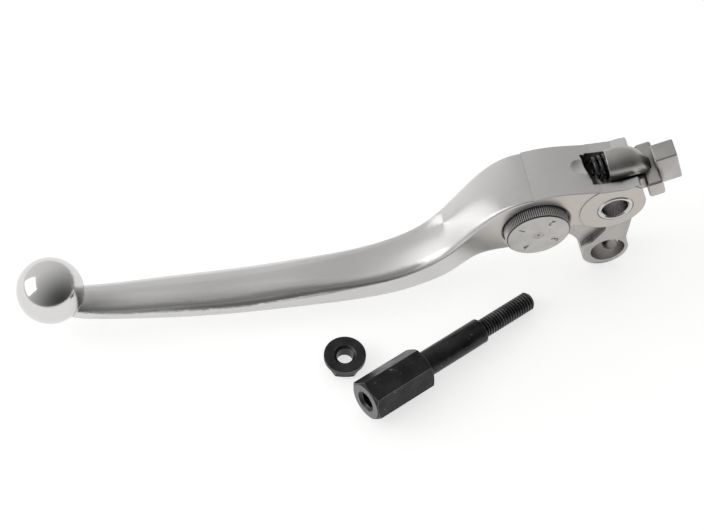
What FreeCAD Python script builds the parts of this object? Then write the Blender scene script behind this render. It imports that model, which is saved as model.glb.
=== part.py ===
"""Left-hand clutch lever with a numbered reach adjuster, and its loose pivot bolt and nut.

Row frame, millimetres: the origin is the centre of the pivot bore, the pivot axis lies along Y,
the blade runs towards -X, +Z is up from the table that the lever lies on and the dial faces -Y.
"""
import FreeCAD, Part
import math
import os

from FreeCAD import Placement, Rotation, Vector

doc = FreeCAD.newDocument("clutch_lever")

# ---------------------------------------------------------------- driving dimensions
DIMENSIONS = {
    # fork and pivot
    "ear_half_width": 9.0,
    "slot_half_width": 5.8,
    "boss_raise": 0.2,
    "boss_disc_radius": 10.9,
    "window_wall": -8.8,
    "window_near": 3.95,
    "window_far": 5.3,
    "cavity_wall": -33.0,
    "cavity_roof": 2.7,
    "bush_radius": 5.5,
    "bush_bore_radius": 4.05,
    "bush_length": 18.8,
    "running_gap": 0.04,
    # ball end
    "ball_radius": 10.2,
    "ball_centre": -169.9,
    "ball_side": 3.7,
    "ball_height": -21.5,
    # reach adjuster
    "dial_centre": -23.9,
    "dial_height": -4.2,
    "dial_radius": 9.9,
    "dial_front": -12.15,
    "dial_back": -8.0,
    "dial_teeth": 96,
    "pocket_radius": 10.3,
    "pocket_floor": -7.8,
    "pocket_bevel_radius": 11.0,
    "pocket_bevel_depth": 0.45,
    "cam_low_radius": 4.0,
    "cam_lift": 2.4,
    "cam_sweep": 270.0,
    "cam_half_width": 3.6,
    "near_journal_radius": 6.5,
    "far_journal_radius": 3.0,
    "detent_circle": 8.4,
    "detent_ball_radius": 1.0,
    # knuckle
    "knuckle_half_width": 5.6,
    "arm_half_width": 3.6,
    "hub_radius": 7.1,
    "pad_face": -8.26,
    "pad_thickness": 1.6,
    "lug_across": 1.9,
    "lug_height": -28.1,
    "lug_radius": 7.4,
    "eye_across": 2.7,
    "eye_height": -28.0,
    "eye_radius": 5.5,
    "cross_hole_radius": 2.7,
    "cross_hole_depth": 1.1,
    "cross_hole_droop": 55.0,
    "tail_tilt": 18.0,
    "barrel_tilt": 12.0,
    "barrel_bore_radius": 3.8,
    # reach spring
    "spring_radius": 2.95,
    "spring_wire_radius": 0.62,
    "spring_pitch": 1.7,
    "spring_turns": 6,
    # loose fasteners
    "table_height": -35.5,
    "bolt_flats": 12.0,
    "bolt_head_length": 21.6,
    "bolt_shank_radius": 4.0,
    "bolt_shank_length": 23.4,
    "bolt_thread_radius": 3.0,
    "bolt_thread_length": 19.8,
    "thread_pitch": 1.0,
    "thread_depth": 0.54,
    "tapped_radius": 2.5,
    "nut_flats": 10.0,
    "nut_flange_radius": 6.4,
    "nut_flange_thickness": 1.3,
    "nut_height": 5.0,
    "nut_across": -85.05,
    "nut_side": -28.03,
}


def make_sheet():
    """Put every driving dimension in one spreadsheet cell with an alias."""
    cells = doc.addObject("Spreadsheet::Sheet", "Sizes")
    for row, (alias, value) in enumerate(DIMENSIONS.items(), start=1):
        cells.set(f"A{row}", alias)
        cells.set(f"B{row}", str(value))
        cells.setAlias(f"B{row}", alias)
    doc.recompute()
    return cells


sheet = make_sheet()


def size(alias):
    """Value of a driving dimension, read from the sheet."""
    return float(sheet.get(alias))


# ---------------------------------------------------------------- small helpers
def primitive(kind, name, placement=Placement(), **bindings):
    """A Part primitive whose properties follow expressions of the sheet."""
    item = doc.addObject("Part::" + kind, name)
    item.Placement = placement
    for prop, expression in bindings.items():
        item.setExpression(prop, expression)
    return item


def along_y(across, start, height):
    """Placement that turns a primitive's +Z axis to +Y, starting at y = start."""
    return Placement(Vector(across, start, height), Rotation(Vector(1, 0, 0), -90))


def feature(name, shape):
    """A Part::Feature for a shape that no primitive or sketch describes."""
    item = doc.addObject("Part::Feature", name)
    item.Shape = shape
    return item


def fuse(name, *items):
    union = doc.addObject("Part::MultiFuse", name)
    union.Shapes = list(items)
    return union


def cut(name, base, *tools):
    """base minus every tool."""
    result = doc.addObject("Part::Cut", name)
    result.Base = base
    result.Tool = tools[0] if len(tools) == 1 else fuse(name + "_tools", *tools)
    return result


def common(name, first, second):
    result = doc.addObject("Part::Common", name)
    result.Base = first
    result.Tool = second
    return result


def node(item, label):
    """Name the finished sub-part; the label names its file."""
    item.Label = label
    nodes.append(item)
    return item


def plate(points, half_width, offset=0.0):
    """Solid between two planes of constant y, from an outline in x and z.

    A point may carry a third value: then it is the middle point of an arc that ends at the next one.
    """
    edges = []
    last = Vector(points[0][0], offset - half_width, points[0][1])
    middle = None
    for point in points[1:] + points[:1]:
        here = Vector(point[0], offset - half_width, point[1])
        if len(point) == 3:
            middle = here
            continue
        if middle:
            edges.append(Part.Arc(last, middle, here).toShape())
        else:
            edges.append(Part.LineSegment(last, here).toShape())
        middle = None
        last = here
    face = Part.Face(Part.Wire(edges))
    return face.extrude(Vector(0, 2 * half_width, 0))


nodes = []
ARC = True


# ---------------------------------------------------------------- lever blade
# Stations along the blade: x, sideways offset, top, bottom, half width, and the share of each
# half side that its rounded corner takes (1 is an ellipse, 0 a rectangle).
BLADE_STATIONS = [
    (-168.0, 2.4, -21.8, -29.0, 4.6, 0.96),
    (-160.0, 1.6, -23.1, -31.4, 5.5, 0.96),
    (-150.0, 1.0, -24.0, -32.2, 6.1, 0.97),
    (-135.0, 0.2, -24.0, -33.3, 6.9, 0.97),
    (-115.0, -0.6, -24.3, -34.1, 7.5, 0.96),
    (-95.0, -0.95, -23.7, -34.7, 7.4, 0.8),
    (-78.0, -0.9, -23.8, -34.2, 7.2, 0.5),
    (-66.0, -0.6, -22.3, -33.0, 7.45, 0.42),
    (-56.0, -0.3, -18.3, -29.9, 7.65, 0.34),
    (-48.0, -0.1, -10.5, -24.4, 8.15, 0.28),
    (-41.0, 0.0, -0.5, -16.9, 8.5, 0.17),
    (-34.0, 0.0, 6.7, -14.3, 8.85, 0.09),
    (-28.0, 0.0, 9.1, -13.5, 8.97, 0.05),
    (-22.0, 0.0, 10.0, -12.4, 8.98, 0.04),
]
CORNER_POINTS = 7


def corner_edge(centre, across, high, start):
    """Quarter ellipse in a plane of constant x, from angle start, tangent to the flats beside it."""
    spline = Part.BSplineCurve()
    angles = [start + 90.0 * step / (CORNER_POINTS - 1) for step in range(CORNER_POINTS)]
    turns = [math.radians(angle) for angle in angles]
    points = [centre + Vector(0, across * math.cos(turn), high * math.sin(turn)) for turn in turns]
    first, last = [Vector(0, -math.sin(turn), math.cos(turn)) for turn in (turns[0], turns[-1])]
    scale = (across + high) / 2
    spline.interpolate(Points=points, InitialTangent=first * scale, FinalTangent=last * scale)
    return spline.toShape()


def blade_section(x, side, top, bottom, half_width, roundness):
    """Rounded rectangle at one station, as four quarter ellipses joined by four short flats."""
    middle = (top + bottom) / 2
    half_height = (top - bottom) / 2
    across = roundness * half_width
    high = roundness * half_height
    corners = []
    for start, y_sign, z_sign in ((0, 1, 1), (90, -1, 1), (180, -1, -1), (270, 1, -1)):
        centre = Vector(x, side + y_sign * (half_width - across), middle + z_sign * (half_height - high))
        corners.append(corner_edge(centre, across, high, start))
    edges = []
    for index, edge in enumerate(corners):
        following = corners[(index + 1) % 4]
        edges.append(edge)
        edges.append(Part.LineSegment(edge.lastVertex().Point, following.firstVertex().Point).toShape())
    return Part.Wire(edges)


def ear_outline():
    """Side view of the fork: long top, upturned lip, round boss and the drop around the cam shaft."""
    return [
        (-26.0, 9.4), (-20.5, 10.15, ARC), (-13.0, 9.9), (-5.0, 8.95), (1.6, 8.95), (6.0, 10.3),
        (6.6, 9.6),
        (9.0, 3.0), (8.9, -1.5, ARC), (6.4, -6.0), (-0.6, -9.4, ARC), (-7.4, -7.4), (-10.4, -6.7),
        (-12.3, -6.3), (-14.4, -7.6), (-18.0, -11.4, ARC), (-24.0, -12.8), (-26.0, -13.0),
    ]


def window_shape():
    """Upright opening for the spring; its wall leans, further from the pivot on the far side."""
    wall = size("window_wall")
    near = -size("window_near")
    far = size("window_far")
    corners = [(wall, far), (wall + 1.4, near), (wall + 6.6, near), (wall + 6.6, far)]
    points = [Vector(x, y, -30) for x, y in corners]
    return Part.Face(Part.makePolygon(points + points[:1])).extrude(Vector(0, 0, 60))


def build_blade():
    ball = primitive("Sphere", "blade_ball", Placement(), Radius="Sizes.ball_radius")
    ball.setExpression("Placement.Base.x", "Sizes.ball_centre")
    ball.setExpression("Placement.Base.y", "Sizes.ball_side")
    ball.setExpression("Placement.Base.z", "Sizes.ball_height")
    loft = feature("blade_loft", Part.makeLoft([blade_section(*row) for row in BLADE_STATIONS], True, False))
    ears = feature("blade_ears", plate(ear_outline(), size("ear_half_width")))
    raised = feature("boss_plate", plate(ear_outline(), size("ear_half_width") + size("boss_raise")))
    disc = primitive("Cylinder", "boss_disc", along_y(0, -12, 0), Radius="Sizes.boss_disc_radius", Height="24")
    boss = common("blade_boss", raised, disc)
    body = fuse("blade_solid", loft, ball, ears, boss)
    slot = primitive(
        "Box", "ear_slot", Length="20", Width="2 * Sizes.slot_half_width", Height="60",
    )
    slot.setExpression("Placement.Base.x", "Sizes.window_wall + 1.6")
    slot.setExpression("Placement.Base.y", "-Sizes.slot_half_width")
    slot.Placement.Base.z = -30
    window = feature("window", window_shape())
    scoop = primitive("Sphere", "window_scoop", Placement(Vector(-9.2, 0.7, 13.8), Rotation()), Radius="5.2")
    cavity = primitive("Box", "cam_cavity", Width="2 * Sizes.slot_half_width", Height="Sizes.cavity_roof + 30")
    cavity.setExpression("Length", "Sizes.window_wall + 3.6 - Sizes.cavity_wall")
    cavity.setExpression("Placement.Base.x", "Sizes.cavity_wall")
    cavity.setExpression("Placement.Base.y", "-Sizes.slot_half_width")
    cavity.Placement.Base.z = -30
    tools = [slot, window, scoop, cavity] + blade_holes()
    return node(cut("blade_cut", body, *tools), "lever_blade")


def blade_holes():
    """Bush bore, dial pocket, both cam shaft holes, detent hole and the reach index slit."""
    centre = size("dial_centre")
    height = size("dial_height")
    near = -size("ear_half_width")
    bore = primitive("Cylinder", "bush_seat", along_y(0, -12, 0), Height="24")
    bore.setExpression("Radius", "Sizes.bush_radius + Sizes.running_gap")
    pocket = primitive("Cylinder", "dial_pocket", along_y(centre, near - 3, height))
    pocket.setExpression("Radius", "Sizes.pocket_radius")
    pocket.setExpression("Height", "3 + Sizes.ear_half_width + Sizes.pocket_floor")
    bevel = primitive("Cone", "pocket_bevel", along_y(centre, near, height))
    bevel.setExpression("Height", "Sizes.pocket_bevel_depth")
    bevel.setExpression("Radius1", "Sizes.pocket_bevel_radius")
    bevel.setExpression("Radius2", "Sizes.pocket_radius")
    near_hole = primitive("Cylinder", "near_shaft_hole", along_y(centre, near, height), Height="9")
    near_hole.setExpression("Radius", "Sizes.near_journal_radius + Sizes.running_gap")
    far_hole = primitive("Cylinder", "far_shaft_hole", along_y(centre, 0, height), Height="12")
    far_hole.setExpression("Radius", "Sizes.far_journal_radius + Sizes.running_gap")
    ball_hole = primitive("Cylinder", "detent_hole", Height="5.4")
    ball_hole.Placement = along_y(centre, size("pocket_floor") - 1, height + size("detent_circle"))
    ball_hole.setExpression("Radius", "Sizes.detent_ball_radius + Sizes.running_gap")
    slit = primitive("Box", "index_slit", Length="1.3", Width="1.8", Height="2.4")
    slit.Placement = Placement(Vector(-14.5, near - 0.8, -8.6), Rotation(Vector(0, 1, 0), 30))
    return [bore, pocket, bevel, near_hole, far_hole, ball_hole, slit]


# ---------------------------------------------------------------- knuckle
def knuckle_arm_outline():
    """Side view of the narrow web: arm under the cam, sweeping down into the push rod lug."""
    return [
        (2.0, 3.0), (-6.0, 3.0), (-9.5, -4.5), (-14.0, -7.6), (-17.0, -9.2), (-31.0, -9.2), (-31.4, -12.6),
        (-29.6, -13.8), (-20.0, -16.3), (-12.6, -17.2), (-8.2, -21.4, ARC), (-5.4, -28.3), (2.0, -30.0),
    ]


def neck_outline():
    """Side view of the full-width neck between hub and lug."""
    return [
        (0.8, 0.0), (7.2, 0.0), (8.0, -11.7), (7.8, -22.0), (9.0, -26.3), (2.0, -29.0), (-3.0, -23.0),
        (0.4, -17.0),
    ]


def tail_placement():
    """The tail is square to a line that climbs from the pivot at the tail's tilt."""
    return Placement(Vector(0, 0, 0), Rotation(Vector(0, 1, 0), -size("tail_tilt")))


def tail_box(name, along, deep, half_width):
    """A box of the tail, from its ranges along and across the tail line."""
    box = primitive("Box", name)
    box.Length = along[1] - along[0]
    box.Width = 2 * half_width
    box.Height = deep[1] - deep[0]
    box.Placement = tail_placement().multiply(Placement(Vector(along[0], -half_width, deep[0]), Rotation()))
    return box


def chamfered(name, base, setback):
    """Every edge broken by the same small chamfer, apart from the seam of a cylinder."""
    doc.recompute()
    item = doc.addObject("Part::Chamfer", name)
    item.Base = base
    edges = enumerate(base.Shape.Edges, start=1)
    item.Edges = [(number, setback, setback) for number, edge in edges if not edge.isSeam(base.Shape.Faces[0])]
    return item


BARREL_MOUTH = Vector(-1.8, 0, 9.7)
# Distance along the barrel line, drop below that line and radius of each ring of the nose.
BARREL_RINGS = [
    (0.0, 0.0, 4.6), (2.5, 0.0, 4.75), (5.0, 0.1, 4.75), (8.0, 0.9, 4.4), (10.6, 2.6, 3.5), (13.0, 5.0, 2.0),
]


def barrel_line():
    tilt = math.radians(size("barrel_tilt"))
    return Vector(math.cos(tilt), 0, math.sin(tilt))


def barrel_shape():
    """Bullet-shaped spring housing, drooping at its closed nose."""
    direction = barrel_line()
    below = Vector(direction.z, 0, -direction.x)
    rings = []
    for distance, drop, radius in BARREL_RINGS:
        centre = BARREL_MOUTH + direction * distance + below * drop
        rings.append(Part.Wire([Part.makeCircle(radius, centre, direction)]))
    return Part.makeLoft(rings, True, False)


def barrel_bore():
    direction = barrel_line()
    start = BARREL_MOUTH - direction * 4
    return Part.makeCylinder(size("barrel_bore_radius"), 10.8, start, direction)


def build_knuckle():
    wide = "2 * Sizes.knuckle_half_width"
    start = -size("knuckle_half_width")
    eye_x = size("eye_across")
    eye_z = size("eye_height")
    hub = primitive("Cylinder", "hub", along_y(0, start, 0), Radius="Sizes.hub_radius", Height=wide)
    lug = primitive("Cylinder", "lug", along_y(size("lug_across"), start, size("lug_height")), Height=wide)
    lug.setExpression("Radius", "Sizes.lug_radius")
    arm = feature("arm", plate(knuckle_arm_outline(), size("arm_half_width")))
    neck = feature("neck", plate(neck_outline(), size("knuckle_half_width")))
    web = tail_box("tail_web", (3.0, 12.0), (-1.6, 3.6), 4.4)
    bar = chamfered("cross_bar", tail_box("bar_block", (10.9, 15.8), (-2.7, 4.2), 7.8), 0.6)
    block = chamfered("stop_block", tail_box("square_block", (15.0, 22.0), (-4.0, 8.4), 3.1), 0.35)
    barrel = feature("spring_barrel", barrel_shape())
    body = fuse("knuckle_solid", hub, lug, arm, neck, web, bar, block, barrel)
    bore = primitive("Cylinder", "hub_bore", along_y(0, -12, 0), Height="24")
    bore.setExpression("Radius", "Sizes.bush_radius + Sizes.running_gap")
    eye = primitive("Cylinder", "eye_bore", along_y(eye_x, -12, eye_z), Radius="Sizes.eye_radius", Height="24")
    cross = primitive("Cylinder", "eye_dimple", Radius="Sizes.cross_hole_radius")
    cross.setExpression("Height", "Sizes.eye_radius + Sizes.cross_hole_depth")
    droop = size("cross_hole_droop")
    cross.Placement = Placement(Vector(eye_x, 0, eye_z), Rotation(Vector(0, 1, 0), 90 + droop))
    seat = primitive("Box", "pad_seat", Length="8.1", Height="6")
    seat.setExpression("Width", "2 * Sizes.arm_half_width + 2")
    seat.setExpression("Placement.Base.x", "Sizes.dial_centre - 4.05")
    seat.setExpression("Placement.Base.y", "-Sizes.arm_half_width - 1")
    seat.setExpression("Placement.Base.z", "Sizes.pad_face - Sizes.pad_thickness")
    pocket = feature("spring_pocket", barrel_bore())
    return node(cut("knuckle_cut", body, bore, eye, cross, seat, pocket), "knuckle")


def build_contact_pad():
    """Hardened plate in the arm that the cam bears on."""
    pad = primitive("Box", "pad", Length="8", Width="2 * Sizes.arm_half_width", Height="Sizes.pad_thickness")
    pad.setExpression("Placement.Base.x", "Sizes.dial_centre - 4")
    pad.setExpression("Placement.Base.y", "-Sizes.arm_half_width")
    pad.setExpression("Placement.Base.z", "Sizes.pad_face - Sizes.pad_thickness")
    return node(pad, "contact_pad")


# ---------------------------------------------------------------- pivot bush
def build_bush():
    """Steel sleeve through both ears and the hub, with a turned lead-in at each end of its bore."""
    half = size("bush_length") / 2
    body = primitive("Cylinder", "bush_body", along_y(0, -half, 0))
    body.setExpression("Radius", "Sizes.bush_radius")
    body.setExpression("Height", "Sizes.bush_length")
    bore = primitive("Cylinder", "bush_bore", along_y(0, -half - 1, 0))
    bore.setExpression("Radius", "Sizes.bush_bore_radius")
    bore.setExpression("Height", "Sizes.bush_length + 2")
    sleeve = chamfered("bush_sleeve", body, 0.35)
    lead = 0.45
    near = primitive("Cone", "near_lead", along_y(0, -half, 0), Height=str(lead))
    near.setExpression("Radius1", f"Sizes.bush_bore_radius + {lead}")
    near.setExpression("Radius2", "Sizes.bush_bore_radius")
    far = primitive("Cone", "far_lead", along_y(0, half - lead, 0), Height=str(lead))
    far.setExpression("Radius1", "Sizes.bush_bore_radius")
    far.setExpression("Radius2", f"Sizes.bush_bore_radius + {lead}")
    return node(cut("bush_cut", sleeve, bore, near, far), "pivot_bush")


# ---------------------------------------------------------------- reach spring
def spring_shape():
    """Open coil of round wire along the barrel line, starting clear of the window wall."""
    radius = size("spring_radius")
    pitch = size("spring_pitch")
    helix = Part.makeHelix(pitch, pitch * size("spring_turns"), radius)
    wire = Part.Wire([Part.makeCircle(size("spring_wire_radius"), Vector(radius, 0, 0), Vector(0, 1, 0))])
    return Part.Wire(helix.Edges).makePipeShell([wire], True, True)


def build_spring():
    direction = barrel_line()
    spring = feature("spring_coil", spring_shape())
    start = BARREL_MOUTH - direction * 4.2
    spring.Placement = Placement(start, Rotation(Vector(0, 0, 1), direction))
    return node(spring, "reach_spring")


# ---------------------------------------------------------------- adjuster dial and cam shaft
def knurled_disc(radius, depth, teeth, length):
    """Straight-knurled disc along +Z with V grooves."""
    points = []
    for index in range(2 * int(teeth)):
        turn = math.pi * index / teeth
        reach = radius - depth * (index % 2)
        points.append(Vector(reach * math.cos(turn), reach * math.sin(turn), 0))
    return Part.Face(Part.makePolygon(points + points[:1])).extrude(Vector(0, 0, length))


def build_dial():
    """Numbered wheel: knurled rim, plain front land, rivet hole and one dimple per reach position."""
    centre = size("dial_centre")
    height = size("dial_height")
    front = size("dial_front")
    land = 0.35
    length = size("dial_back") - front
    rim = feature("dial_rim", knurled_disc(size("dial_radius"), 0.32, size("dial_teeth"), length - land))
    rim.Placement = along_y(centre, front + land, height)
    face = primitive("Cone", "dial_face", along_y(centre, front, height), Height=str(land))
    face.setExpression("Radius1", "Sizes.dial_radius - 0.55")
    face.setExpression("Radius2", "Sizes.dial_radius - 0.33")
    hole = primitive("Cylinder", "rivet_hole", along_y(centre, front - 1, height), Radius="1.0", Height="7")
    sink = primitive("Cylinder", "rivet_sink", along_y(centre, front - 1, height), Radius="1.75", Height="1.6")
    dimples = []
    for index in range(4):
        turn = math.pi / 2 * index
        dimple = primitive("Sphere", f"dimple_{index}", Radius="Sizes.detent_ball_radius + 0.1")
        reach = size("detent_circle")
        across = centre + reach * math.cos(turn)
        dimple.Placement.Base = Vector(across, size("dial_back") + 0.62, height + reach * math.sin(turn))
        dimples.append(dimple)
    return node(cut("dial_cut", fuse("dial_solid", rim, face), hole, sink, *dimples), "adjuster_dial")


def cam_radius(turn):
    """Cam radius at an angle in degrees, counted clockwise from straight down, seen from the dial."""
    low = size("cam_low_radius")
    sweep = size("cam_sweep")
    if turn <= sweep:
        return low + size("cam_lift") * turn / sweep
    back = (turn - sweep) / (360 - sweep)
    return low + size("cam_lift") * max(0.0, 1 - 1.5 * back)


def cam_shape():
    """Spiral cam plate, 45 spans of the profile law."""
    half = size("cam_half_width")
    points = []
    for index in range(90):
        turn = 4.0 * index
        angle = math.radians(-90 - turn)
        reach = cam_radius(turn)
        points.append(Vector(reach * math.cos(angle), -half, reach * math.sin(angle)))
    face = Part.Face(Part.makePolygon(points + points[:1]))
    return face.extrude(Vector(0, 2 * half, 0))


def build_cam_shaft():
    """Shaft that the dial turns: wide near journal, spiral cam, slim far journal with a clip groove."""
    centre = size("dial_centre")
    height = size("dial_height")
    floor = size("pocket_floor")
    cam = feature("cam_plate", cam_shape())
    cam.Placement.Base = Vector(centre, 0, height)
    near = primitive("Cylinder", "near_journal", along_y(centre, floor - 0.18, height))
    near.setExpression("Radius", "Sizes.near_journal_radius")
    near.setExpression("Height", "-Sizes.pocket_floor + 0.18 - Sizes.slot_half_width + 0.1")
    core = primitive("Cylinder", "cam_core", along_y(centre, floor + 1, height), Height="11.5")
    core.setExpression("Radius", "Sizes.cam_low_radius - 0.3")
    far = primitive("Cylinder", "far_journal", along_y(centre, 0, height), Height="9.72")
    far.setExpression("Radius", "Sizes.far_journal_radius")
    groove = primitive("Cylinder", "groove_floor", along_y(centre, 9.5, height), Radius="2.2", Height="1.2")
    tip = primitive("Cone", "shaft_tip", along_y(centre, 10.36, height), Height="0.7", Radius2="2.5")
    tip.setExpression("Radius1", "Sizes.far_journal_radius")
    shaft = fuse("shaft_solid", cam, near, core, far, groove, tip)
    blind = primitive("Cylinder", "rivet_blind", along_y(centre, -10, height), Radius="0.95", Height="6")
    return node(cut("shaft_cut", shaft, blind), "cam_shaft")


def build_rivet():
    """Flush rivet that holds the dial on the cam shaft, with a punched centre."""
    centre = size("dial_centre")
    height = size("dial_height")
    front = size("dial_front")
    head = primitive("Cylinder", "rivet_head", along_y(centre, front + 0.02, height), Radius="1.7", Height="0.57")
    stem = primitive("Cylinder", "rivet_stem", along_y(centre, front + 0.3, height), Radius="0.93", Height="7.6")
    punch = primitive("Cone", "rivet_punch", along_y(centre, front - 0.1, height), Height="0.5")
    punch.Radius1 = 0.55
    punch.Radius2 = 0.05
    return node(cut("rivet_cut", fuse("rivet_solid", head, stem), punch), "dial_rivet")


def build_detent():
    """Ball and coil spring in the blade that click the dial into its numbered positions."""
    radius = size("detent_ball_radius")
    floor = size("dial_back") + 0.03
    across = size("dial_centre")
    height = size("dial_height") + size("detent_circle")
    ball = primitive("Sphere", "ball", Radius="Sizes.detent_ball_radius")
    ball.Placement.Base = Vector(across, floor + radius, height)
    node(ball, "detent_ball")
    mean = radius - 0.3
    helix = Part.makeHelix(0.55, 2.2, mean)
    wire = Part.Wire([Part.makeCircle(0.16, Vector(mean, 0, 0), Vector(0, 1, 0))])
    spring = feature("detent_coil", Part.Wire(helix.Edges).makePipeShell([wire], True, True))
    spring.Placement = along_y(across, -6.0, height)
    return node(spring, "detent_spring")


def build_washer_and_clip():
    """Wave washer (drawn flat) and open retaining clip on the far end of the cam shaft."""
    centre = size("dial_centre")
    height = size("dial_height")
    face = size("ear_half_width")
    disc = primitive("Cylinder", "washer_disc", along_y(centre, face + 0.04, height), Radius="5.2", Height="0.55")
    hole = primitive("Cylinder", "washer_hole", along_y(centre, face - 1, height), Radius="3.06", Height="3")
    node(cut("washer_cut", disc, hole), "cam_washer")
    ring = primitive("Cylinder", "clip_disc", along_y(centre, 9.74, height), Radius="4.4", Height="0.6")
    bore = primitive("Cylinder", "clip_bore", along_y(centre, 9, height), Radius="2.24", Height="3")
    mouth = primitive("Box", "clip_mouth", Length="3.4", Width="3", Height="8")
    mouth.Placement.Base = Vector(centre - 1.7, 9, height)
    ears = primitive("Box", "clip_relief", Length="12", Width="3", Height="1.2")
    ears.Placement.Base = Vector(centre - 6, 9, height - 0.2)
    relief = primitive("Cylinder", "relief_ring", along_y(centre, 9, height), Radius="3.3", Height="3")
    slots = common("clip_reliefs", ears, relief)
    return node(cut("clip_cut", ring, bore, mouth, slots), "cam_clip")


# ---------------------------------------------------------------- loose pivot bolt and nut
def hexagon(name, flats, length, start=0.0):
    prism = primitive("Prism", name, Placement(Vector(0, 0, start), Rotation()))
    prism.Polygon = 6
    prism.Circumradius = flats / math.sqrt(3)
    prism.Height = length
    return prism


def dome(name, flats, length, start=0.0, both=True):
    """Chamfered round blank that trims a hexagon's corners."""
    outer = flats / math.sqrt(3) + 0.1
    inner = flats / 2 - 0.3
    rise = (outer - inner) * math.tan(math.radians(30))
    top = [(0, length), (inner, length), (outer, length - rise)]
    low = [(outer, rise), (inner, 0), (0, 0)] if both else [(outer, 0), (0, 0)]
    points = [Vector(r, 0, z + start) for r, z in top + low]
    face = Part.Face(Part.makePolygon(points + points[:1]))
    return feature(name, face.revolve(Vector(0, 0, 0), Vector(0, 0, 1), 360))


def threaded_rod(name, start):
    """Shank and thread as one turned profile, with the thread as rings at its pitch."""
    shank = size("bolt_shank_radius")
    crest = size("bolt_thread_radius")
    root = crest - size("thread_depth")
    pitch = size("thread_pitch")
    thread_start = start + size("bolt_shank_length")
    end = thread_start + size("bolt_thread_length")
    profile = [(0, start - 1), (shank, start - 1), (shank, thread_start - 0.5), (shank - 0.5, thread_start)]
    profile += [(root, thread_start)]
    position = thread_start + pitch
    while position < end - pitch / 2:
        profile.append((root, position - 0.44 * pitch))
        profile.append((crest, position - 0.08 * pitch))
        profile.append((crest, position + 0.08 * pitch))
        profile.append((root, position + 0.44 * pitch))
        position += pitch
    profile += [(root - 0.1, end), (0, end)]
    points = [Vector(r, 0, z) for r, z in profile]
    face = Part.Face(Part.makePolygon(points + points[:1]))
    return feature(name, face.revolve(Vector(0, 0, 0), Vector(0, 0, 1), 360))


BOLT_HEAD_END = Vector(-82.3, -46.65, -27.37)
BOLT_HEADING = 27.3
BOLT_DROOP = 4.6
BOLT_ROLL = 38.6


def build_bolt():
    """Pivot bolt: long hexagon head tapped at its end, 8 mm shank and M6 thread, lying on the table."""
    length = size("bolt_head_length")
    flats = size("bolt_flats")
    head = common("bolt_hex", hexagon("bolt_prism", flats, length), dome("bolt_dome", flats, length))
    rod = threaded_rod("bolt_rod", length)
    tapped = primitive("Cylinder", "bolt_tapped", Placement(Vector(0, 0, -1), Rotation()), Height="15")
    tapped.setExpression("Radius", "Sizes.tapped_radius")
    sink = primitive("Cone", "bolt_sink", Radius1="3.5", Radius2="2.5", Height="0.9")
    bolt = cut("bolt_cut", fuse("bolt_solid", head, rod), tapped, sink)
    lie = Rotation(Vector(0, 1, 0), 90 + BOLT_DROOP)
    heading = Rotation(Vector(0, 0, 1), BOLT_HEADING)
    spin = Rotation(Vector(0, 0, 1), BOLT_ROLL)
    bolt.Placement = Placement(BOLT_HEAD_END, heading.multiply(lie).multiply(spin))
    return node(bolt, "pivot_bolt")


def build_nut():
    """Flanged M6 nut lying with its flange up."""
    height = size("nut_height")
    lower = height - size("nut_flange_thickness")
    hexa = hexagon("nut_prism", size("nut_flats"), lower + 0.5)
    trim = dome("nut_dome", size("nut_flats"), lower + 1.5)
    body = common("nut_hex", hexa, trim)
    flange = primitive("Cylinder", "nut_flange", Placement(Vector(0, 0, lower), Rotation()))
    flange.setExpression("Radius", "Sizes.nut_flange_radius")
    flange.setExpression("Height", "Sizes.nut_flange_thickness")
    hole = primitive("Cylinder", "nut_hole", Placement(Vector(0, 0, -1), Rotation()), Height="9")
    hole.setExpression("Radius", "Sizes.tapped_radius")
    low = primitive("Cone", "nut_low_sink", Radius1="3.3", Radius2="2.5", Height="0.7")
    top = primitive("Cone", "nut_top_sink", Radius1="2.5", Radius2="3.4", Height="0.8")
    top.Placement.Base.z = height - 0.8
    nut = cut("nut_cut", fuse("nut_solid", body, flange), hole, low, top)
    rest = Vector(size("nut_across"), size("nut_side"), size("table_height"))
    nut.Placement = Placement(rest, Rotation(Vector(0, 0, 1), -10.4))
    return node(nut, "pivot_nut")


# ---------------------------------------------------------------- build, check and export
def check_all():
    """Stop on any failed object or bad solid before a file is written."""
    for item in doc.Objects:
        if "Invalid" in item.State or "Error" in item.State:
            raise RuntimeError(f"{item.Name} failed: {item.State}")
    for item in nodes:
        if item.Shape.isNull() or not item.Shape.isValid():
            raise RuntimeError(f"{item.Label} has a bad shape")


def main():
    build_blade()
    build_knuckle()
    build_contact_pad()
    build_bush()
    build_spring()
    build_dial()
    build_cam_shaft()
    build_rivet()
    build_detent()
    build_washer_and_clip()
    build_bolt()
    build_nut()
    doc.recompute()
    check_all()
    os.makedirs("parts", exist_ok=True)
    for item in nodes:
        item.Shape.exportStep(f"parts/{item.Label}.step")
        box = item.Shape.BoundBox
        print(f"{item.Label:14s} solids {len(item.Shape.Solids)} volume {item.Shape.Volume:9.1f}",
              f"x {box.XMin:.1f} {box.XMax:.1f} y {box.YMin:.1f} {box.YMax:.1f} z {box.ZMin:.1f} {box.ZMax:.1f}")


main()
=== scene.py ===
"""Looks of the clutch lever, its reach dial and its loose pivot bolt and nut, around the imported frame."""
import math

import bpy
from mathutils import Matrix, Vector


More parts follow.
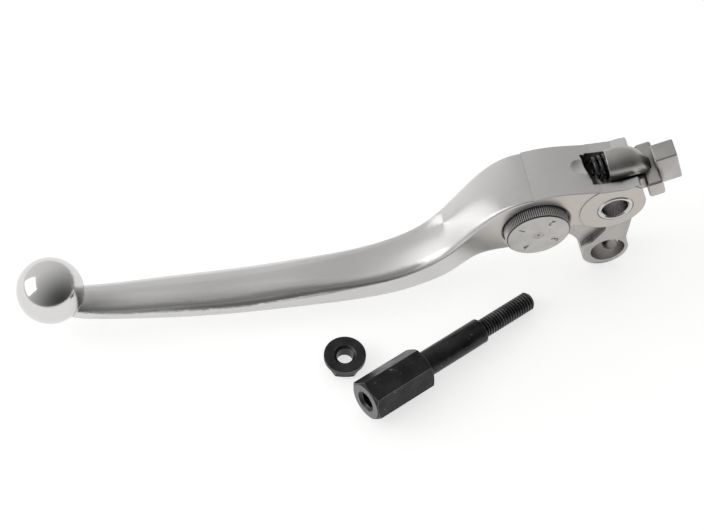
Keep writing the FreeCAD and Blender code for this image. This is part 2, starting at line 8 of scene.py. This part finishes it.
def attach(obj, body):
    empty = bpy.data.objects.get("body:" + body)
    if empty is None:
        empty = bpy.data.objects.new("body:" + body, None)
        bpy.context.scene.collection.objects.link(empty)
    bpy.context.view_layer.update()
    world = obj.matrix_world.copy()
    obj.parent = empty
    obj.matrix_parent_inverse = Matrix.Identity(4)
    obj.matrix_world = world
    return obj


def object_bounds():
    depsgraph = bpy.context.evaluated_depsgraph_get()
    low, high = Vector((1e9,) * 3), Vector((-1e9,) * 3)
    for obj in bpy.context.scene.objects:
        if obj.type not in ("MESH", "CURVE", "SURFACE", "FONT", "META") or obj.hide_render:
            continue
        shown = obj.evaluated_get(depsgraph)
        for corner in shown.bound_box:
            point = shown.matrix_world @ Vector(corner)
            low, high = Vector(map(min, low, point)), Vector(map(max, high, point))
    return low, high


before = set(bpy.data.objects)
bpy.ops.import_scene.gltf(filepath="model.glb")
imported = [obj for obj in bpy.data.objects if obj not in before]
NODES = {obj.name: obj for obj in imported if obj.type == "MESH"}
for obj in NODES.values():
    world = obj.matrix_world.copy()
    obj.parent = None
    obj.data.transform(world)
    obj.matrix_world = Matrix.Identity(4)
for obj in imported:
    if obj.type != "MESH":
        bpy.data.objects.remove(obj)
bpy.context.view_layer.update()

MM = 0.001


# ---------------------------------------------------------------- material helpers
class Graph:
    """One material's node tree, built with short calls."""

    def __init__(self, name):
        self.material = bpy.data.materials.new(name)
        self.material.use_nodes = True
        self.tree = self.material.node_tree
        self.shader = self.tree.nodes["Principled BSDF"]
        self.place = self.add("ShaderNodeTexCoord").outputs["Object"]

    def add(self, kind, **settings):
        item = self.tree.nodes.new(kind)
        for key, value in settings.items():
            setattr(item, key, value)
        return item

    def join(self, source, target):
        """Link a socket, or set a constant, on an input."""
        if isinstance(source, bpy.types.NodeSocket):
            self.tree.links.new(source, target)
        else:
            target.default_value = source

    def noise(self, scale, stretch=(1, 1, 1), detail=3.0, roughness=0.55, turn=(0, 0, 0)):
        """3-D noise in object metres; a small stretch value draws the pattern out along that axis."""
        mapping = self.add("ShaderNodeMapping")
        mapping.inputs["Scale"].default_value = stretch
        mapping.inputs["Rotation"].default_value = turn
        self.join(self.place, mapping.inputs["Vector"])
        item = self.add("ShaderNodeTexNoise")
        self.join(mapping.outputs["Vector"], item.inputs["Vector"])
        item.inputs["Scale"].default_value = scale
        item.inputs["Detail"].default_value = detail
        item.inputs["Roughness"].default_value = roughness
        return item.outputs["Fac"]

    def math(self, operation, first, second=0.0):
        item = self.add("ShaderNodeMath", operation=operation)
        for source, target in zip((first, second), item.inputs):
            self.join(source, target)
        return item.outputs[0]

    def span(self, value, low, high, out_low=0.0, out_high=1.0):
        """Clamped remap of a value from one range to another."""
        item = self.add("ShaderNodeMapRange")
        for source, target in zip((value, low, high, out_low, out_high), item.inputs):
            self.join(source, target)
        return item.outputs[0]

    def blend(self, share, first, second):
        """Mix of two colours."""
        item = self.add("ShaderNodeMix", data_type="RGBA")
        self.join(share, item.inputs["Factor"])
        self.join(first, item.inputs["A"])
        self.join(second, item.inputs["B"])
        return item.outputs["Result"]

    def bump(self, height, distance, strength=1.0, under=None):
        item = self.add("ShaderNodeBump")
        item.inputs["Distance"].default_value = distance
        item.inputs["Strength"].default_value = strength
        self.join(height, item.inputs["Height"])
        if under is not None:
            self.join(under, item.inputs["Normal"])
        return item.outputs["Normal"]

    def rounded(self, radius):
        """Shading normal with every sharp edge rounded over."""
        bevel = self.add("ShaderNodeBevel", samples=6)
        bevel.inputs["Radius"].default_value = radius
        return bevel.outputs["Normal"]

    def painted_gap_shade(self, distance, power=1.0):
        """Share for painted shade in narrow gaps, from ambient occlusion: 1 in the open, falling towards 0
        deep in a narrow gap.
        """
        item = self.add("ShaderNodeAmbientOcclusion", samples=6)
        item.inputs["Distance"].default_value = distance
        return self.math("POWER", item.outputs["AO"], power)

    def brush_along_x(self, share):
        """Spread reflections along the part's length and keep them crisp around it."""
        around = self.add("ShaderNodeTangent", direction_type="RADIAL", axis="X")
        self.join(around.outputs["Tangent"], self.shader.inputs["Tangent"])
        self.shader.inputs["Anisotropic Rotation"].default_value = 0.25
        self.join(share, self.shader.inputs["Anisotropic"])

    def edges(self, radius, low=0.02, high=0.25):
        """1 on sharp edges, 0 on flats, from how far a rounded normal leaves the true one."""
        true = self.add("ShaderNodeNewGeometry").outputs["Normal"]
        dot = self.add("ShaderNodeVectorMath", operation="DOT_PRODUCT")
        self.join(self.rounded(radius), dot.inputs[0])
        self.join(true, dot.inputs[1])
        return self.span(self.math("SUBTRACT", 1.0, dot.outputs["Value"]), low, high)

    def axis(self, index, source=None):
        item = self.add("ShaderNodeSeparateXYZ")
        self.join(self.place if source is None else source, item.inputs[0])
        return item.outputs[index]


def grey(value, warm=0.0):
    """Linear grey, warmer for a positive second value."""
    return (value * (1 + warm), value, value * (1 - warm), 1.0)


def finish_metal(graph, colour, roughness, normal=None, metallic=1.0):
    graph.join(colour, graph.shader.inputs["Base Color"])
    graph.join(roughness, graph.shader.inputs["Roughness"])
    if metallic is not None:
        graph.shader.inputs["Metallic"].default_value = metallic
    if normal is not None:
        graph.join(normal, graph.shader.inputs["Normal"])
    return graph.material


# ---------------------------------------------------------------- materials
DIAL_CENTRE = Vector((-23.9, -12.15, -4.2)) * MM
# Outward direction of the free end of the bolt's hexagon, which is turned brighter than its coat.
HEAD_FACE = (-0.8858, -0.4572, 0.0802)


def polished_aluminium():
    """Mirror ball, satin-polished blade with fine grain along it, brushed fork and milled side faces."""
    g = Graph("polished_aluminium")
    across = g.axis(0)
    side = g.axis(1, g.add("ShaderNodeTexCoord").outputs["Normal"])
    milled = g.math(
        "MULTIPLY",
        g.span(g.math("ABSOLUTE", side), 0.93, 0.995),
        g.span(across, -0.052, -0.036),
    )
    mirror = g.span(across, -0.158, -0.164)
    fork = g.span(across, -0.075, -0.045)
    grain = g.noise(1500, (0.10, 1, 1), detail=3)
    sparkle = g.noise(2200, (0.6, 1, 1), detail=1)
    cloud = g.noise(28, detail=2)
    swirl = g.noise(2400, detail=2)
    rough = g.span(grain, 0.3, 0.7, 0.28, 0.38)
    rough = g.math("MULTIPLY", rough, g.span(mirror, 0.0, 1.0, 1.0, 0.42))
    satin = g.span(mirror, 0.0, 1.0, 1.0, 0.0)
    g.brush_along_x(g.math("MULTIPLY", satin, g.span(milled, 0.0, 1.0, 0.97, 0.0)))
    tone = g.span(cloud, 0.35, 0.65, 0.0, 1.0)
    colour = g.blend(tone, grey(0.60, 0.015), grey(0.66, 0.01))
    # Painted shading: the milled side faces are lighter grey towards the ball end and darker grey towards
    # the pivot.
    painted_side_shading = g.blend(g.span(across, -0.042, -0.024), grey(0.60, 0.04), grey(0.47, 0.07))
    colour = g.blend(milled, colour, painted_side_shading)
    # Painted shade: on the fork end the colour goes to near-black in narrow gaps, from ambient occlusion.
    unshaded_share = g.math("MAXIMUM", g.painted_gap_shade(0.0012, 1.3), g.span(across, -0.040, -0.048))
    colour = g.blend(unshaded_share, grey(0.08, 0.05), colour)
    depth = g.math("MULTIPLY", g.span(mirror, 0.0, 1.0, 1.0, 0.12), g.span(fork, 0.0, 1.0, 1.0, 0.35))
    height = g.math("MULTIPLY", g.math("ADD", grain, g.math("MULTIPLY", sparkle, 0.7)), depth)
    normal = g.bump(height, 0.000030, 0.8, g.rounded(0.00045))
    normal = g.bump(g.math("MULTIPLY", swirl, milled), 0.00001, 0.5, normal)
    return finish_metal(g, colour, rough, normal)


def cast_aluminium():
    """Matte casting with a fine pebbled skin, slightly rubbed edges and painted shade in narrow gaps."""
    g = Graph("cast_aluminium")
    skin = g.noise(1300, detail=3)
    cloud = g.noise(90, detail=3)
    rubbed = g.edges(0.0004)
    colour = g.blend(g.span(cloud, 0.35, 0.65), grey(0.37, 0.035), grey(0.47, 0.04))
    colour = g.blend(rubbed, colour, grey(0.68, 0.02))
    # Painted shade: the colour goes to near-black in narrow gaps, from ambient occlusion.
    colour = g.blend(g.painted_gap_shade(0.0014, 1.2), grey(0.06, 0.05), colour)
    rough = g.span(skin, 0.3, 0.7, 0.30, 0.44)
    normal = g.bump(skin, 0.00006, 0.55, g.bump(cloud, 0.0002, 0.25, g.rounded(0.0004)))
    return finish_metal(g, colour, rough, normal)


def turned_steel(name, value, rough_low, rough_high, warm=0.0):
    """Plain machined steel with tool marks drawn out along the pivot axis."""
    g = Graph(name)
    marks = g.noise(700, (1, 0.1, 1), detail=3)
    cloud = g.noise(120, detail=2)
    rubbed = g.edges(0.00025)
    colour = g.blend(g.span(cloud, 0.35, 0.65), grey(value * 0.92, warm), grey(value * 1.05, warm))
    colour = g.blend(rubbed, colour, grey(min(0.9, value * 1.25), warm))
    rough = g.span(marks, 0.3, 0.7, rough_low, rough_high)
    return finish_metal(g, colour, rough, g.bump(marks, 0.00002, 0.4))


def dial_steel():
    """Satin wheel: fine facing marks, painted shade in the knurl's grooves and in narrow gaps, and a
    painted highlight on the knurl's crests.
    """
    g = Graph("dial_steel")
    offset = g.add("ShaderNodeVectorMath", operation="SUBTRACT")
    g.join(g.place, offset.inputs[0])
    offset.inputs[1].default_value = DIAL_CENTRE
    flat = g.add("ShaderNodeVectorMath", operation="MULTIPLY")
    g.join(offset.outputs[0], flat.inputs[0])
    flat.inputs[1].default_value = (1, 0, 1)
    length = g.add("ShaderNodeVectorMath", operation="LENGTH")
    g.join(flat.outputs[0], length.inputs[0])
    radius = length.outputs["Value"]
    rings = g.add("ShaderNodeTexNoise", noise_dimensions="1D")
    g.join(g.math("MULTIPLY", radius, 9000.0), rings.inputs["W"])
    rings.inputs["Scale"].default_value = 1.0
    cloud = g.noise(260, detail=4)
    # Painted shade: a near-black ring over the knurl's grooves and the edge just inside them.
    groove_shade = g.math("MULTIPLY", g.span(radius, 0.00980, 0.00965), g.span(radius, 0.00932, 0.0094))
    # Painted highlight: the knurl's crests are painted near-white.
    crest_highlight = g.span(radius, 0.00965, 0.00982)
    colour = g.blend(g.span(cloud, 0.3, 0.7), grey(0.42, 0.03), grey(0.50, 0.035))
    colour = g.blend(groove_shade, colour, grey(0.10, 0.02))
    colour = g.blend(crest_highlight, colour, grey(0.86, 0.01))
    # Painted shade: the colour goes to near-black in narrow gaps, from ambient occlusion.
    colour = g.blend(g.painted_gap_shade(0.0008, 1.0), grey(0.06, 0.02), colour)
    rough = g.span(rings.outputs["Fac"], 0.3, 0.7, 0.30, 0.42)
    normal = g.bump(rings.outputs["Fac"], 0.00001, 0.4, g.bump(cloud, 0.00003, 0.3))
    # Painted highlight: the crests turn less metallic so their near-white colour shows.
    g.join(g.span(crest_highlight, 0.0, 1.0, 1.0, 0.40), g.shader.inputs["Metallic"])
    return finish_metal(g, colour, rough, normal, metallic=None)


BARE_STEEL = 0.42


def black_coat(name, value, rough_low, rough_high, worn):
    """Black oxide or paint: mottled, lightly scratched and worn bright on its edges."""
    g = Graph(name)
    cloud = g.noise(230, detail=5)
    speck = g.noise(1700, detail=2)
    scratch = g.noise(900, (0.25, 1, 1), detail=3, turn=(0.2, 0.3, 0.45))
    rubbed = g.math("MULTIPLY", g.edges(0.0003, 0.01, 0.12), g.span(cloud, 0.30, 0.62, 0.25, 1.0))
    lines = g.math("MULTIPLY", g.span(scratch, 0.70, 0.76), worn)
    chips = g.math("MULTIPLY", g.span(speck, 0.72, 0.76), worn)
    bare = g.math("MAXIMUM", g.math("MULTIPLY", rubbed, worn), g.math("MAXIMUM", lines, chips))
    colour = g.blend(g.span(cloud, 0.35, 0.65), grey(value * 0.7), grey(value * 1.3))
    facing = g.add("ShaderNodeVectorMath", operation="DOT_PRODUCT")
    g.join(g.add("ShaderNodeTexCoord").outputs["Normal"], facing.inputs[0])
    facing.inputs[1].default_value = HEAD_FACE
    end = g.math("MULTIPLY", g.span(facing.outputs["Value"], 0.93, 0.98), g.span(g.axis(1), -0.036, -0.038))
    bare = g.math("MAXIMUM", bare, g.math("MULTIPLY", end, 0.35))
    colour = g.blend(bare, colour, grey(BARE_STEEL))
    rough = g.span(cloud, 0.35, 0.65, rough_low, rough_high)
    normal = g.bump(speck, 0.00003, 0.35, g.bump(cloud, 0.00008, 0.3))
    return finish_metal(g, colour, rough, normal, metallic=0.85)


def ink():
    """Dark bottom of the stamped figures."""
    g = Graph("stamped_figure")
    cloud = g.noise(900, detail=3)
    colour = g.blend(g.span(cloud, 0.35, 0.65), grey(0.05), grey(0.13))
    rough = g.span(cloud, 0.3, 0.7, 0.45, 0.7)
    return finish_metal(g, colour, rough, g.bump(cloud, 0.00003, 0.3), metallic=0.6)


def assign(node, material):
    """Put one material on every slot of a node's mesh, which stays as it is."""
    mesh = NODES[node].data
    if not mesh.materials:
        mesh.materials.append(material)
    for index in range(len(mesh.materials)):
        mesh.materials[index] = material


def dress_nodes():
    oxide = black_coat("black_oxide", 0.036, 0.28, 0.44, 0.8)
    spring = turned_steel("spring_steel", 0.45, 0.25, 0.4)
    hardened = turned_steel("hardened_steel", 0.55, 0.2, 0.32)
    looks = {
        "lever_blade": polished_aluminium(),
        "knuckle": cast_aluminium(),
        "contact_pad": hardened,
        "pivot_bush": turned_steel("bush_steel", 0.56, 0.20, 0.32, 0.02),
        "reach_spring": black_coat("spring_black", 0.06, 0.10, 0.18, 0.1),
        "adjuster_dial": dial_steel(),
        "cam_shaft": turned_steel("cam_steel", 0.5, 0.22, 0.36),
        "dial_rivet": turned_steel("rivet_steel", 0.40, 0.32, 0.44, 0.035),
        "detent_ball": hardened,
        "detent_spring": spring,
        "cam_washer": spring,
        "cam_clip": black_coat("clip_black", 0.03, 0.35, 0.5, 0.4),
        "pivot_bolt": oxide,
        "pivot_nut": oxide,
    }
    for name, material in looks.items():
        assign(name, material)


# ---------------------------------------------------------------- figures on the dial
FIGURE_ANGLES = {"1": 148.0, "2": 58.0, "3": 328.0, "4": 238.0}
FIGURE_RADIUS = 6.6 * MM
FIGURE_SIZE = 3.4 * MM
FIGURE_RAISE = 0.02 * MM


def figure(character, angle, material):
    """One stamped figure, its top towards the dial's centre."""
    curve = bpy.data.curves.new(f"figure_{character}", "FONT")
    curve.body = character
    curve.size = FIGURE_SIZE
    curve.align_x = "CENTER"
    curve.align_y = "CENTER"
    curve.extrude = FIGURE_RAISE
    item = bpy.data.objects.new(f"dial_figure_{character}", curve)
    bpy.context.scene.collection.objects.link(item)
    turn = math.radians(angle)
    outward = Vector((math.cos(turn), 0, math.sin(turn)))
    up = -outward
    facing = Vector((0, -1, 0))
    right = up.cross(facing)
    matrix = Matrix((right, up, facing)).transposed().to_4x4()
    matrix.translation = DIAL_CENTRE + outward * FIGURE_RADIUS
    item.matrix_world = matrix
    bpy.context.view_layer.update()
    mesh = bpy.data.meshes.new_from_object(item.evaluated_get(bpy.context.evaluated_depsgraph_get()))
    mesh.transform(matrix)
    name = item.name
    bpy.data.objects.remove(item)
    solid = bpy.data.objects.new(name, mesh)
    bpy.context.scene.collection.objects.link(solid)
    mesh.materials.clear()
    mesh.materials.append(material)
    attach(solid, "dial")


# ---------------------------------------------------------------- floor, light and camera
FLOOR_HALF = 14.0
FLOOR_GLOW = 0.68


def build_floor():
    """Broad pale table, bright enough to wash its shadows out."""
    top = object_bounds()[0][2]
    corners = [(x * FLOOR_HALF, y * FLOOR_HALF, top) for x, y in ((-1, -1), (1, -1), (1, 1), (-1, 1))]
    mesh = bpy.data.meshes.new("table")
    mesh.from_pydata(corners, [], [(0, 1, 2, 3)])
    floor = bpy.data.objects.new("table", mesh)
    bpy.context.scene.collection.objects.link(floor)
    g = Graph("table_white")
    speck = g.noise(60, detail=2)
    colour = g.blend(speck, grey(0.60, 0.004), grey(0.62, 0.004))
    g.join(colour, g.shader.inputs["Base Color"])
    g.shader.inputs["Roughness"].default_value = 0.9
    g.shader.inputs["Specular IOR Level"].default_value = 0.0
    g.shader.inputs["Emission Color"].default_value = (1.0, 1.0, 0.995, 1.0)
    g.shader.inputs["Emission Strength"].default_value = FLOOR_GLOW
    mesh.materials.append(g.material)


def aim(item, at):
    direction = (Vector(at) - item.location).normalized()
    item.rotation_mode = "QUATERNION"
    item.rotation_quaternion = direction.to_track_quat("-Z", "Y")


WINDOW_TOWARDS = Vector((-0.89, 0.10, 0.43))
WINDOW_DISTANCE = 1.1
WINDOW_WIDTH = 0.78
WINDOW_HEIGHT = 0.70
WINDOW_WATTS = 3.9
LEVER_MIDDLE = Vector((-0.06, 0.0, -0.02))


def build_window():
    """One large soft light on the ball's side, a little above the table."""
    lamp = bpy.data.lights.new("window", "AREA")
    lamp.shape = "RECTANGLE"
    lamp.size = WINDOW_WIDTH
    lamp.size_y = WINDOW_HEIGHT
    lamp.energy = WINDOW_WATTS
    item = bpy.data.objects.new("window", lamp)
    item.location = LEVER_MIDDLE + WINDOW_TOWARDS.normalized() * WINDOW_DISTANCE
    bpy.context.scene.collection.objects.link(item)
    aim(item, LEVER_MIDDLE)


# The room is dark in front and brightens towards the back and the window side: weights of a
# direction's parts, then the place on that scale and the grey of the room there.
ROOM_SLOPE = (-0.2, 0.31, 0.0)
ROOM_START = 0.49
ROOM = [(0.0, 0.04), (0.13, 0.06), (0.22, 0.14), (0.5, 0.48), (0.7, 0.72), (0.9, 0.90)]


def build_room():
    """World background: the room that the polished metal mirrors."""
    world = bpy.data.worlds.new("room")
    bpy.context.scene.world = world
    world.use_nodes = True
    tree = world.node_tree
    place = tree.nodes.new("ShaderNodeTexCoord")
    slope = tree.nodes.new("ShaderNodeVectorMath")
    slope.operation = "DOT_PRODUCT"
    slope.inputs[1].default_value = ROOM_SLOPE
    shift = tree.nodes.new("ShaderNodeMath")
    shift.inputs[1].default_value = ROOM_START
    ramp = tree.nodes.new("ShaderNodeValToRGB")
    tree.links.new(place.outputs["Generated"], slope.inputs[0])
    tree.links.new(slope.outputs["Value"], shift.inputs[0])
    tree.links.new(shift.outputs[0], ramp.inputs["Fac"])
    stops = ramp.color_ramp.elements
    while len(stops) < len(ROOM):
        stops.new(0.5)
    for stop, (position, value) in zip(stops, ROOM):
        stop.position = position
        stop.color = grey(value)
    tree.links.new(ramp.outputs["Color"], tree.nodes["Background"].inputs["Color"])
    tree.nodes["Background"].inputs["Strength"].default_value = 1.0


CAMERA_PLACE = Vector((-143.881, -295.664, 434.044)) * MM
CAMERA_RIGHT = Vector((0.98313, -0.18121, 0.02471))
CAMERA_UP = Vector((0.13796, 0.82352, 0.55026))
CAMERA_LENS = 91.18


def build_camera():
    """The photo's own viewpoint."""
    data = bpy.data.cameras.new("camera")
    data.lens = CAMERA_LENS
    data.sensor_width = 36.0
    data.sensor_fit = "HORIZONTAL"
    data.clip_start = 0.01
    data.clip_end = 60.0
    item = bpy.data.objects.new("camera", data)
    back = CAMERA_RIGHT.cross(CAMERA_UP)
    matrix = Matrix((CAMERA_RIGHT, CAMERA_UP, back)).transposed().to_4x4()
    matrix.translation = CAMERA_PLACE
    item.matrix_world = matrix
    bpy.context.scene.collection.objects.link(item)
    bpy.context.scene.camera = item


dress_nodes()
stamp = ink()
for character, angle in FIGURE_ANGLES.items():
    figure(character, angle, stamp)
build_floor()
build_window()
build_room()
build_camera()
bpy.context.scene.view_settings.view_transform = "Standard"
